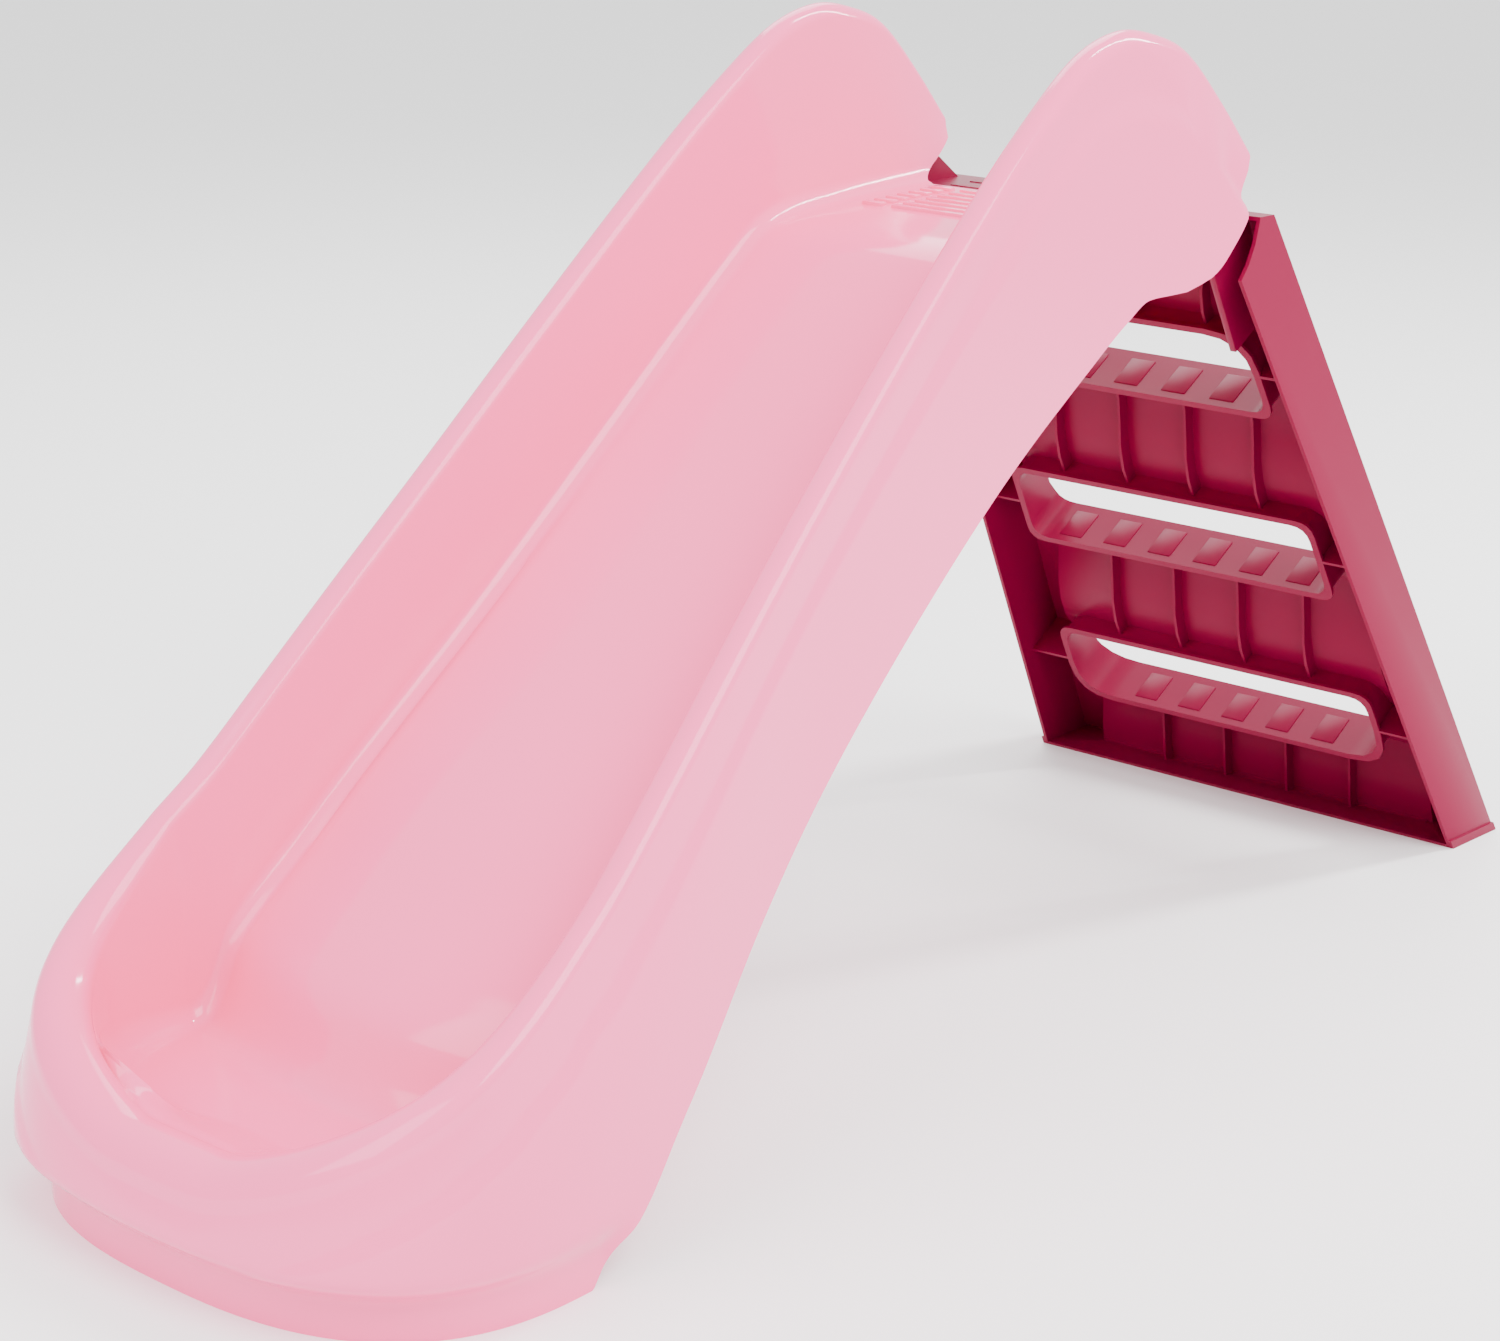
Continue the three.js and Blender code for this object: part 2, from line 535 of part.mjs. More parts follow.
function makeLadder() {
  const far = LADDER_DEPTH + REACH;
  const level = levelSlab(0, LADDER_HEIGHT);
  const block = frontSlab(ladderOutline(0), 0, LADDER_DEPTH).intersect(level);
  const trayRoom = (wall) => frontSlab(ladderOutline(wall), wall, far)
    .intersect(levelSlab(wall, LADDER_HEIGHT - wall)).subtract(dishes(wall, wall));
  const inside = trayRoom(LADDER_WALL / 2).intersect(level);
  const webs = union([...openingRims(), ...riserRibs(), ...edgeWalls()]).intersect(inside);
  const flare = frontSlab(ladderOutline(-FOOT_FLARE), 0, LADDER_DEPTH)
    .intersect(levelSlab(0, FOOT_FLARE_HEIGHT))
    .subtract(frontSlab(ladderOutline(LADDER_WALL / 2), -REACH, far));
  let body = block.subtract(dishes(0, 0)).subtract(trayRoom(LADDER_WALL)).add(webs).add(flare);

  for (let step = 0; step < OPENINGS; step += 1) {
    body = body.subtract(frontSlab(openingOutline(step, 0), -REACH, far));
  }
  const shoulder = ARCH_HALF - ARCH_RISE * 1.4;
  const arch = rounded([[-ARCH_HALF, -REACH, 0], [ARCH_HALF, -REACH, 0], [shoulder, ARCH_RISE, ARCH_RISE],
    [-shoulder, ARCH_RISE, ARCH_RISE]]);
  body = body.subtract(frontSlab(arch, -REACH, far));

  const axis = new THREE.Vector2(HINGE.x - LADDER_FOOT_X, HINGE.z)
    .rotateAround(new THREE.Vector2(), LADDER_LEAN);
  for (const hand of [1, -1]) {
    const [left, right] = band(EAR_INNER, EAR_OUTER, hand);
    body = body.subtract(turnedDisc(axis, SWEEP_RADIUS, ...band(EAR_OUTER, LADDER_HALF_FOOT, hand)));
    body = body.add(sideSlab(earOutline(axis), left, right));
    body = body.subtract(turnedDisc(axis, PIN_RADIUS + RUNNING_GAP, left - 1, right + 1));
  }
  return geometryOf(body);
}

// Disc across the width, centred on a point of the side view.
function turnedDisc(centre, radius, from, to) {
  const disc = new THREE.CylinderGeometry(radius, radius, to - from, 32);
  disc.translate(centre.x, (from + to) / 2, centre.y);
  return solid(disc);
}

// Ear from the top step up to a round end about the hinge.
function earOutline(centre) {
  const top = (x) => LADDER_LENGTH + x * LEAN_SLOPE;
  const points = [[LADDER_WALL + 1, top(0) - 4], [LADDER_DEPTH, top(LADDER_DEPTH) - EAR_RADIUS]];
  for (let i = 0; i <= 10; i += 1) {
    const angle = THREE.MathUtils.degToRad(lerp(-40, 150, i / 10));
    points.push([centre.x + EAR_RADIUS * Math.cos(angle), centre.y + EAR_RADIUS * Math.sin(angle)]);
  }
  points.push([EAR_RADIUS, top(EAR_RADIUS) + EAR_RADIUS]);
  return points;
}

function piece(name, geometry, material) {
  const mesh = new THREE.Mesh(geometry, material);
  mesh.name = name;
  return mesh;
}

const slide = new THREE.Group();
const pieces = new THREE.Group();
slide.add(pieces);
pieces.add(piece("chute", makeChute(), PINK));

const ladder = piece("ladder", makeLadder(), RASPBERRY);
ladder.rotation.y = LADDER_LEAN;
ladder.position.x = LADDER_FOOT_X;
pieces.add(ladder);

for (const [side, hand] of [["left", 1], ["right", -1]]) {
  const pin = new THREE.CylinderGeometry(PIN_RADIUS, PIN_RADIUS, PIN_OUTER - PIN_INNER, 24);
  const mesh = piece(`hinge_pin_${side}`, pin, STEEL);
  mesh.position.set(HINGE.x, hand * (PIN_INNER + PIN_OUTER) / 2, HINGE.z);
  pieces.add(mesh);
}

// The origin is on the ground below the middle of the slide.
pieces.position.x = -new THREE.Box3().setFromObject(pieces, true).getCenter(new THREE.Vector3()).x;

export default slide;
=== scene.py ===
"""Fold-up toddler slide: a glossy pink chute hinged to a raspberry climbing ladder."""

import math

import bmesh
import bpy
import numpy as np
from mathutils import Matrix, Vector


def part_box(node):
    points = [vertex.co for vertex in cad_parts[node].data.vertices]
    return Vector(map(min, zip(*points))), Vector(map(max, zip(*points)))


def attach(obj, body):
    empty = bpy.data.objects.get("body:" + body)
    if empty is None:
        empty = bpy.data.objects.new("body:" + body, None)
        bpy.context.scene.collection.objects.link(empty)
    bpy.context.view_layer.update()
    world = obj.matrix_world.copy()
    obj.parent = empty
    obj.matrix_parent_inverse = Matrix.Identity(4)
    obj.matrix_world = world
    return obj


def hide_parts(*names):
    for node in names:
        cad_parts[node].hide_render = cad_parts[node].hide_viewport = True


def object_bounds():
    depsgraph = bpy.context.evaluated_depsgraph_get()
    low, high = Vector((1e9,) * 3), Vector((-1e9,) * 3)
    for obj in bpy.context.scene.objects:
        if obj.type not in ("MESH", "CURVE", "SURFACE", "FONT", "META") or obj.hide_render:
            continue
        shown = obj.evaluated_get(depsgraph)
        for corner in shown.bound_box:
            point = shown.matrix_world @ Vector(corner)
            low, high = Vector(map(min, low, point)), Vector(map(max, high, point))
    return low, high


bl_info = {
    "name": "Toddler Slide",
    "version": (1, 0, 0),
    "blender": (4, 5, 0),
    "location": "View3D > Sidebar > Slide",
    "description": "Builds a fold-up toddler slide around its packed frame",
    "category": "Add Mesh",
}

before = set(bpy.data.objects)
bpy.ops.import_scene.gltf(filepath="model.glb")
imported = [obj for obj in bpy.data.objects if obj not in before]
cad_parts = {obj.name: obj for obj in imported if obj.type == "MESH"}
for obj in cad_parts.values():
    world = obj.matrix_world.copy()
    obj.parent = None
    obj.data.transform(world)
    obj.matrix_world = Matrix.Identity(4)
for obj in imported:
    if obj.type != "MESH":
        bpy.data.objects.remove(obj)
CAD_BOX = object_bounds()
CHUTE_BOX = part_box("chute")

REAR = CHUTE_BOX[0].x            # rear tips of the rims; lengths of the chute are measured from here
GROUND = CAD_BOX[0].z


# ---------------------------------------------------------------------------------------------
# Curves of the chute, in metres from its rear tip
# ---------------------------------------------------------------------------------------------

DECK_HEIGHT = 0.540
CHUTE_RUN = 0.741                # rear tips to the centre of the rounded exit
PEAK_HEIGHT = 0.676
REAR_TIP_HEIGHT = 0.582
NOSE_RIM_HEIGHT = 0.209
RUNOUT_HEIGHT = 0.070
LIP_HEIGHT = 0.088
NOSE_REACH = 0.157
CREST_REACH = 0.142
DECK_REAR = 0.054
WALL = 0.0035
RIM_RADIUS = 0.011
LIP_RADIUS = 0.024
RIM_HALF_REAR = 0.132
RIM_HALF_EXIT = 0.176
WALL_LEAN = 0.010
FLOOR_FILLET = 0.014
FLOOR_BOW = 0.030                # how far the step down to the run-out bows forward in the middle
BOW_RANGE = (0.5 * CHUTE_RUN, 0.85 * CHUTE_RUN)         # from no bow to full bow
LIP_FILLET = 0.040
SKIRT_DRAFT = 0.02
PANEL_DROP = 0.042
PANEL_SOFTNESS = 0.007
PANEL_STEP = 0.0025
SKIRT_FLARE = 0.011
FLARE_START = 0.68
FLARE_DEPTH = 0.110
LIP_FLARE = 0.009
LIP_FLARE_DEPTH = 0.040
BASE_HALF = 0.194
BASE_HEIGHT = 0.028
FOOT_BLEND = (BASE_HEIGHT * 0.8, BASE_HEIGHT * 1.6)     # heights between which foot becomes skirt
BASE_LEAD = (0.040, 0.010)       # where the foot starts and is full, short of the nose centre
BASE_SQUARENESS = 2.6
NOSE_SQUARENESS = 3.0
LOBE_FOOT = 0.494
RIM_SEAT = 0.012
TIP_ROUND = 0.006
REAR_BLEND = 0.150
NOSE_CENTRE = CHUTE_RUN
LEVEL_LIP = 0.15                 # share of the turn from the front over which the lip stays level
LIP_RISE = 1.5                   # how late the lip rises to the side rims
SHALLOW_TURN = 1.7               # angle the rim turns through where the wall below it is shallow
FULL_DEPTH = 2.4                 # wall height, in rim radii, from which the rim turns right over
STEEP_FROM = 0.35                # share of that height from which the wall stands up

# Ladder, in metres: its rear face leans, and its lengths run up along it from the feet
LADDER_LEAN = math.radians(30.5)
LADDER_FOOT = -0.338             # foot of the rear face from the rear tips
TREADS = ((0.104, 5), (0.286, 6), (0.468, 5))   # height along the ladder, and grip pads across
TOP_STEP = 0.536
TREAD_DEPTH = 0.044
PAD_PITCH = 0.043
PAD_SIZE = (0.029, 0.0215, 0.0016)
PAD_ROUND = (0.15, 0.45)         # pad edge radius as a share of its length, and at most of its height
PAD_SETBACK = 0.52               # middle of the pads, as a share of the tread's depth
STEP_PAD_SIZE = (0.016, 0.030, 0.0016)
STEP_PADS = 5
STEP_PAD_ROWS = 2
STEP_PAD_START = 0.018           # first row on the top step, forward of its rear edge
STEP_PAD_PITCH = 0.024
RIDGES = 7
RIDGE_START = 0.016              # first ridge, forward of the seat's rear edge
RIDGE_PITCH = 0.0135
RIDGE_SIZE = (0.0055, 0.118, 0.0044)
RIDGE_END_SIZE = (0.0068, 0.018, 0.0050)
RIDGE_END_OUT = 0.076
BEVEL = 0.0006


def smooth(value, low, high):
    """Smooth step from 0 at low to 1 at high."""
    q = np.clip((value - low) / (high - low), 0.0, 1.0)
    return q * q * (3.0 - 2.0 * q)


def mix(a, b, q):
    """Straight blend from a to b."""
    return a + (b - a) * q


def curve_through(points):
    """Smooth curve through (x, value) points, held level past its ends."""
    xs = np.array([p[0] for p in points])
    ys = np.array([p[1] for p in points])
    before = np.maximum(np.arange(len(xs)) - 1, 0)
    after = np.minimum(np.arange(len(xs)) + 1, len(xs) - 1)
    slopes = (ys[after] - ys[before]) / (xs[after] - xs[before])

    def value(x):
        t = np.clip(x, xs[0], xs[-1])
        i = np.clip(np.searchsorted(xs, t, side="right") - 1, 0, len(xs) - 2)
        span = xs[i + 1] - xs[i]
        q = (t - xs[i]) / span
        h = q * q * (3.0 - 2.0 * q)
        lean = (1.0 - q) * slopes[i] - q * slopes[i + 1]
        return mix(ys[i], ys[i + 1], h) + span * q * (1.0 - q) * lean

    return value


def along_run(low, high, points):
    """Curve along the chute from (share of the run, share from low to high) points."""
    return curve_through([(run * CHUTE_RUN, mix(low, high, share)) for run, share in points])


TIP_SHARE = (REAR_TIP_HEIGHT - NOSE_RIM_HEIGHT) / (PEAK_HEIGHT - NOSE_RIM_HEIGHT)
rim_top = along_run(NOSE_RIM_HEIGHT, PEAK_HEIGHT, [
    (0.0, TIP_SHARE), (0.058, 0.891), (0.113, 0.964), (0.161, 0.991), (0.208, 1.0), (0.262, 0.979),
    (0.316, 0.929), (0.409, 0.82), (0.568, 0.606), (0.781, 0.304), (0.888, 0.148), (0.954, 0.054), (1.0, 0.0),
])
rim_half = along_run(RIM_HALF_REAR, RIM_HALF_EXIT, [
    (0.0, 0.045), (0.193, -0.045), (0.355, 0.045), (0.672, 0.432), (0.887, 0.818), (1.0, 1.0),
])
skirt_foot = along_run(0.0, LOBE_FOOT, [
    (0.0, 1.0), (0.173, 1.0), (0.209, 0.976), (0.255, 0.937), (0.424, 0.783), (0.623, 0.555), (0.767, 0.354),
    (0.853, 0.215), (0.895, 0.152), (0.935, 0.087), (0.976, 0.038), (0.995, 0.0),
])
floor_top = along_run(RUNOUT_HEIGHT, DECK_HEIGHT, [
    (DECK_REAR / CHUTE_RUN, 1.0), (0.219, 0.994), (0.314, 0.975), (0.358, 0.928), (0.526, 0.698),
    (0.686, 0.477), (0.82, 0.298), (0.887, 0.204), (0.93, 0.147), (0.958, 0.1), (0.976, 0.038),
    (0.989, 0.009), (1.0, 0.0),
])
SKIRT_TOP_REAR = REAR_TIP_HEIGHT - RIM_SEAT
skirt_rear = curve_through([
    (mix(LOBE_FOOT, SKIRT_TOP_REAR, share), past)
    for share, past in ((0.0, 0.083), (0.079, 0.053), (0.263, 0.031), (0.618, 0.007), (0.776, 0.016),
                        (1.0, 0.008))
])

# Points along each stretch of a section
SKIRT_POINTS = 26
RIM_POINTS = 16
WALL_POINTS = 8
FILLET_POINTS = 9
FLOOR_POINTS = 12
FIRST_RIM = SKIRT_POINTS - 1
LAST_RIM = FIRST_RIM + RIM_POINTS
FLOOR_START = LAST_RIM + WALL_POINTS + FILLET_POINTS


def skirt_face(crest, rim, top, flare, flare_depth, z):
    """Distance out of the skirt: slight draft, a soft step below the rim and a swell near the exit."""
    below = top - rim - z
    step = PANEL_STEP * smooth(below, PANEL_DROP - PANEL_SOFTNESS, PANEL_DROP)
    swell = flare * np.sin((math.pi / 2) * np.clip(below / flare_depth, 0.0, 1.0))
    return crest + rim + SKIRT_DRAFT * below + step + swell


def with_foot(face, base, strength, z):
    """The recessed foot: base distance below, skirt face above."""
    above = smooth(z, *FOOT_BLEND)
    return mix(face, base, strength * (1.0 - above))


def half_section(crest, top, foot, rim, floor, fillet, lean, outer, depth):
    """Section points (out, height), from the skirt's foot over the rim to the middle of the floor."""
    shoulder = top - rim
    heights = np.linspace(0.0, 1.0, SKIRT_POINTS)
    z_skirt = mix(foot, shoulder, heights)
    out = [outer(z_skirt) - depth]
    up = [z_skirt]
    fullness = min(max((top - floor) / (FULL_DEPTH * rim), 0.0), 1.0)
    steepness = float(smooth(fullness, STEEP_FROM, 1.0))
    angle = mix(SHALLOW_TURN, math.pi, fullness) * np.arange(1, RIM_POINTS + 1) / RIM_POINTS
    out.append(crest + (rim - depth) * np.cos(angle))
    up.append(shoulder + (rim - depth) * np.sin(angle))
    end_out, end_up = out[-1][-1], up[-1][-1]
    wall_foot = crest - rim - lean
    flat = wall_foot - fillet
    along = np.arange(1, WALL_POINTS + 1) / (WALL_POINTS + 1)
    turn = (math.pi / 2) * np.arange(FILLET_POINTS) / (FILLET_POINTS - 1)
    radius = fillet + depth
    steep_out = np.concatenate([mix(crest - rim, wall_foot, along) + depth, flat + radius * np.cos(turn)])
    steep_up = np.concatenate([mix(shoulder, floor + fillet, along), floor + fillet - radius * np.sin(turn)])
    q = np.arange(1, len(steep_out) + 1) / len(steep_out)
    out.append(mix(mix(end_out, flat, q), steep_out, steepness))
    up.append(mix(mix(end_up, floor - depth, smooth(q, 0.0, 1.0)), steep_up, steepness))
    share = np.arange(FLOOR_POINTS - 1, -1, -1) / FLOOR_POINTS
    out.append(flat * share)
    up.append(np.full(FLOOR_POINTS, floor - depth))
    return np.concatenate(out), np.concatenate(up)


def side_shape(x):
    """The section's sizes at a distance from the rear tip."""
    crest, top = float(rim_half(x)), float(rim_top(x))
    flare = SKIRT_FLARE * float(smooth(x, FLARE_START * CHUTE_RUN, NOSE_CENTRE))
    strength = float(smooth(x, NOSE_CENTRE - BASE_LEAD[0], NOSE_CENTRE - BASE_LEAD[1]))

    def outer(z):
        return with_foot(skirt_face(crest, RIM_RADIUS, top, flare, FLARE_DEPTH, z), BASE_HALF, strength, z)

    return dict(crest=crest, top=top, foot=float(skirt_foot(x)), rim=RIM_RADIUS, floor=float(floor_top(x)),
                fillet=FLOOR_FILLET, lean=WALL_LEAN, outer=outer)


def nose_plan(angle, reach, half, squareness):
    """Plan distance of the rounded exit from its centre."""
    ahead = abs(math.cos(angle) / reach) ** squareness
    aside = abs(math.sin(angle) / half) ** squareness
    return (ahead + aside) ** (-1.0 / squareness)


def nose_shape(angle):
    """The section's sizes at an angle round the exit."""
    side = min(abs(angle) / (math.pi / 2), 1.0)
    soft = math.sin((1.0 - side) * math.pi / 2)
    rise = max((side - LEVEL_LIP) / (1.0 - LEVEL_LIP), 0.0) ** LIP_RISE
    top = mix(LIP_HEIGHT, NOSE_RIM_HEIGHT, rise)
    rim = mix(RIM_RADIUS, LIP_RADIUS, soft)
    crest = nose_plan(angle, CREST_REACH, RIM_HALF_EXIT, NOSE_SQUARENESS)
    base = nose_plan(angle, NOSE_REACH, BASE_HALF, BASE_SQUARENESS)
    flare = mix(SKIRT_FLARE, LIP_FLARE, soft)
    flare_depth = mix(FLARE_DEPTH, LIP_FLARE_DEPTH, soft)

    def outer(z):
        return with_foot(skirt_face(crest, rim, top, flare, flare_depth, z), base, 1.0, z)

    return dict(crest=crest, top=top, foot=0.0, rim=rim, floor=RUNOUT_HEIGHT, lean=mix(WALL_LEAN, 0.0, soft),
                fillet=mix(FLOOR_FILLET, LIP_FILLET, soft), outer=outer)


def wall_out(shape, z, depth):
    """Distance out of the inner wall at a height."""
    brow = shape["crest"] - shape["rim"]
    foot = shape["floor"] + shape["fillet"]
    radius = shape["fillet"] + depth
    rise = min(max((z - foot) / (shape["top"] - shape["rim"] - foot), 0.0), 1.0)
    low = min(max((foot - z) / radius, 0.0), 1.0)
    return mix(brow - shape["lean"], brow, rise) + depth - radius * (1.0 - math.sqrt(1.0 - low * low))


def rear_ends():
    """Where each point of the section ends at the rear: (x, height or None)."""
    ends = []
    for j in range(FIRST_RIM + 1):
        z = mix(LOBE_FOOT, SKIRT_TOP_REAR, j / FIRST_RIM)
        ends.append((float(skirt_rear(z)), z))
    for j in range(FIRST_RIM + 1, LAST_RIM + 1):
        ends.append((TIP_ROUND * abs(math.cos(math.pi * (j - FIRST_RIM) / RIM_POINTS)), None))
    for j in range(LAST_RIM + 1, FLOOR_START + 1):
        share = (j - LAST_RIM) / (FLOOR_START - LAST_RIM)
        ends.append((mix(TIP_ROUND, DECK_REAR, share), mix(SKIRT_TOP_REAR, DECK_HEIGHT, share)))
    return ends + [(DECK_REAR, None)] * FLOOR_POINTS


REAR_ENDS = rear_ends()


def side_row(station, hand, depth):
    """One row of the side, drawn back near the rear so that it ends on the slanted rear edges."""
    pull = 1.0 - float(smooth(station, 0.0, REAR_BLEND))
    row = []
    for j, (end_x, end_z) in enumerate(REAR_ENDS):
        x = station + pull * end_x
        shape = side_shape(x)
        out, up = half_section(**shape, depth=depth)
        n, z = out[j], up[j]
        if end_z is not None and pull > 0.0:
            drop = depth * (j - LAST_RIM) / (FLOOR_START - LAST_RIM) if j > LAST_RIM else 0.0
            z = mix(z, end_z - drop, pull)
            n = wall_out(shape, z, depth) if j > LAST_RIM else float(shape["outer"](z)) - depth
        row.append((x, hand * n, z))
    return row


def plain_row(station, hand, depth):
    """One row of the side, away from the rear."""
    out, up = half_section(**side_shape(station), depth=depth)
    return np.stack([np.full(len(out), station), hand * out, up], 1)


def nose_row(angle, depth):
    """One row round the exit."""
    out, up = half_section(**nose_shape(angle), depth=depth)
    return np.stack([NOSE_CENTRE + out * math.cos(angle), out * math.sin(angle), up], 1)


def bowed(grid):
    """The grid with its floor's lower step bowed forward in the middle."""
    x, y = grid[:, FLOOR_START:, 0], grid[:, FLOOR_START:, 1]
    width = RIM_HALF_EXIT - RIM_RADIUS - WALL_LEAN - FLOOR_FILLET
    bow = FLOOR_BOW * np.clip(1.0 - (y / width) ** 2, 0.0, 1.0) * smooth(x, *BOW_RANGE)
    grid[:, FLOOR_START:, 2] += floor_top(x - bow) - floor_top(x)
    return grid


def shell_mesh(name, outside, inside):
    """Closed shell between two grids of rows, its shared points merged."""
    rows, cols = outside.shape[:2]
    grid = np.arange(rows * cols).reshape(rows, cols)
    inner = grid + rows * cols
    faces = []
    for i in range(rows - 1):
        for j in range(cols - 1):
            faces.append((grid[i, j], grid[i, j + 1], grid[i + 1, j + 1], grid[i + 1, j]))
            faces.append((inner[i, j], inner[i + 1, j], inner[i + 1, j + 1], inner[i, j + 1]))
        faces.append((grid[i, 0], grid[i + 1, 0], inner[i + 1, 0], inner[i, 0]))
    for j in range(cols - 1):
        faces.append((grid[0, j], inner[0, j], inner[0, j + 1], grid[0, j + 1]))
        faces.append((grid[-1, j], grid[-1, j + 1], inner[-1, j + 1], inner[-1, j]))
    points = np.concatenate([outside.reshape(-1, 3), inside.reshape(-1, 3)])
    mesh = bpy.data.meshes.new(name)
    mesh.from_pydata(points.tolist(), [], [tuple(int(k) for k in f) for f in faces])
    return tidy_mesh(mesh)


def tidy_mesh(mesh, distance=1e-6):
    """Merge doubles, drop empty faces and point the faces outwards."""
    bm = bmesh.new()
    bm.from_mesh(mesh)
    bmesh.ops.remove_doubles(bm, verts=bm.verts, dist=distance)
    bmesh.ops.dissolve_degenerate(bm, edges=bm.edges, dist=distance / 10)
    bmesh.ops.recalc_face_normals(bm, faces=bm.faces)
    bm.to_mesh(mesh)
    bm.free()
    return mesh


def add_piece(name, mesh, material):
    """Link a mesh as an object at the origin with one material."""
    piece = bpy.data.objects.new(name, mesh)
    bpy.context.scene.collection.objects.link(piece)
    mesh.materials.clear()
    mesh.materials.append(material)
    return piece


def shade_smooth(mesh, angle=35.0):
    """Smooth shading with edges sharper than the angle kept crisp."""
    mesh.shade_smooth()
    mesh.set_sharp_from_angle(angle=math.radians(angle))


def on_ladder(depth, along, aside=0.0):
    """World place of a point on the ladder: depth forward of its rear face, and along it."""
    turn = Matrix.Rotation(LADDER_LEAN, 3, "Y")
    return turn @ Vector((depth, 0.0, along)) + Vector((REAR + LADDER_FOOT, aside, GROUND))


def pad_mesh(name, size, lean=0.0):
    """Small flat pad with a rounded edge, centred on the face it sits on."""
    bm = bmesh.new()
    bmesh.ops.create_cube(bm, size=1.0)
    bmesh.ops.scale(bm, vec=size, verts=bm.verts)
    upper = [edge for edge in bm.edges if all(v.co.z > 0.0 for v in edge.verts)]
    upright = [edge for edge in bm.edges if edge.verts[0].co.z * edge.verts[1].co.z < 0.0]
    bmesh.ops.bevel(bm, geom=upper + upright, offset=min(size[0] * PAD_ROUND[0], size[2] * PAD_ROUND[1]),
                    segments=2, profile=0.5, affect="EDGES", clamp_overlap=True)
    bmesh.ops.rotate(bm, matrix=Matrix.Rotation(lean, 3, "Y"), verts=bm.verts)
    mesh = bpy.data.meshes.new(name)
    bm.to_mesh(mesh)
    bm.free()
    shade_smooth(mesh)
    return mesh


def row_nodes():
    """Geometry nodes that repeat an object in a straight row."""
    known = bpy.data.node_groups.get("row_of_pads")
    if known:
        return known
    group = bpy.data.node_groups.new("row_of_pads", "GeometryNodeTree")
    face = group.interface
    for socket_name, kind in (("Geometry", "NodeSocketGeometry"), ("Pad", "NodeSocketObject"),
                              ("Count", "NodeSocketInt"), ("First", "NodeSocketVector"),
                              ("Step", "NodeSocketVector"), ("Material", "NodeSocketMaterial")):
        face.new_socket(socket_name, in_out="INPUT", socket_type=kind)
    face.new_socket("Geometry", in_out="OUTPUT", socket_type="NodeSocketGeometry")
    nodes, links = group.nodes, group.links
    given = nodes.new("NodeGroupInput")
    made = nodes.new("NodeGroupOutput")
    line = nodes.new("GeometryNodeMeshLine")
    pad = nodes.new("GeometryNodeObjectInfo")
    place = nodes.new("GeometryNodeInstanceOnPoints")
    real = nodes.new("GeometryNodeRealizeInstances")
    paint = nodes.new("GeometryNodeSetMaterial")
    links.new(given.outputs["Count"], line.inputs["Count"])
    links.new(given.outputs["First"], line.inputs["Start Location"])
    links.new(given.outputs["Step"], line.inputs["Offset"])
    links.new(given.outputs["Pad"], pad.inputs["Object"])
    links.new(line.outputs["Mesh"], place.inputs["Points"])
    links.new(pad.outputs["Geometry"], place.inputs["Instance"])
    links.new(place.outputs["Instances"], real.inputs["Geometry"])
    links.new(real.outputs["Geometry"], paint.inputs["Geometry"])
    links.new(given.outputs["Material"], paint.inputs["Material"])
    links.new(paint.outputs["Geometry"], made.inputs["Geometry"])
    return group


def pad_row(pad, count, first, step, material):
    """Plain mesh of a row of pads."""
    maker = bpy.data.objects.new("pad_row", bpy.data.meshes.new("pad_row"))
    bpy.context.scene.collection.objects.link(maker)
    source = bpy.data.objects.new("pad", pad)
    bpy.context.scene.collection.objects.link(source)
    modifier = maker.modifiers.new("row", "NODES")
    modifier.node_group = row_nodes()
    sockets = {item.name: item.identifier for item in modifier.node_group.interface.items_tree
               if item.in_out == "INPUT"}
    values = {"Pad": source, "Count": count, "First": tuple(first), "Step": tuple(step), "Material": material}
    for key, value in values.items():
        modifier[sockets[key]] = value
    maker.update_tag()
    seen = maker.evaluated_get(bpy.context.evaluated_depsgraph_get())
    mesh = bpy.data.meshes.new_from_object(seen)
    maker.modifiers.remove(modifier)
    bpy.data.objects.remove(maker)
    bpy.data.objects.remove(source)
    return mesh


def joined(name, meshes):
    """One mesh from several."""
    bm = bmesh.new()
    for mesh in meshes:
        bm.from_mesh(mesh)
    whole = bpy.data.meshes.new(name)
    bm.to_mesh(whole)
    bm.free()
    return whole


def trim(name, meshes, material, body):
    """Small moulded features of one body as one piece."""
    piece = add_piece(name, joined(name, meshes), material)
    shade_smooth(piece.data)
    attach(piece, body)
    return piece


# ---------------------------------------------------------------------------------------------
# Materials
# ---------------------------------------------------------------------------------------------

def new_group(name, inputs, outputs):
    """Empty shader group with named sockets."""
    group = bpy.data.node_groups.new(name, "ShaderNodeTree")
    for socket_name, kind, default in inputs:
        socket = group.interface.new_socket(socket_name, in_out="INPUT", socket_type=kind)
        socket.default_value = default
    for socket_name, kind in outputs:
        group.interface.new_socket(socket_name, in_out="OUTPUT", socket_type=kind)
    return group


DRIFT_SCALE = 5.0
MOTTLE_SCALE = 900.0
RIPPLE_SCALE = 18.0
MOTTLE_HEIGHT = 0.05             # fine mottle's height beside the ripple's
BUMP_STRENGTH = 0.35
PLASTIC_IOR = 1.49
CHUTE_DEEP = (0.88, 0.085, 0.25, 1.0)
LADDER_DEEP = (0.12, 0.0008, 0.017, 1.0)
CHUTE_MOTTLE = (-0.02, 0.03)     # roughness below and above the setting
LADDER_MOTTLE = (-0.04, 0.06)
CHUTE_SHINE = 0.42
LADDER_SHINE = 0.12
STEEL_COLOUR = (0.56, 0.57, 0.60, 1.0)
STEEL_GLOSS = (0.25, 0.42)
DRAW_SCALE = (900.0, 40.0, 900.0)    # grain drawn out along the pins


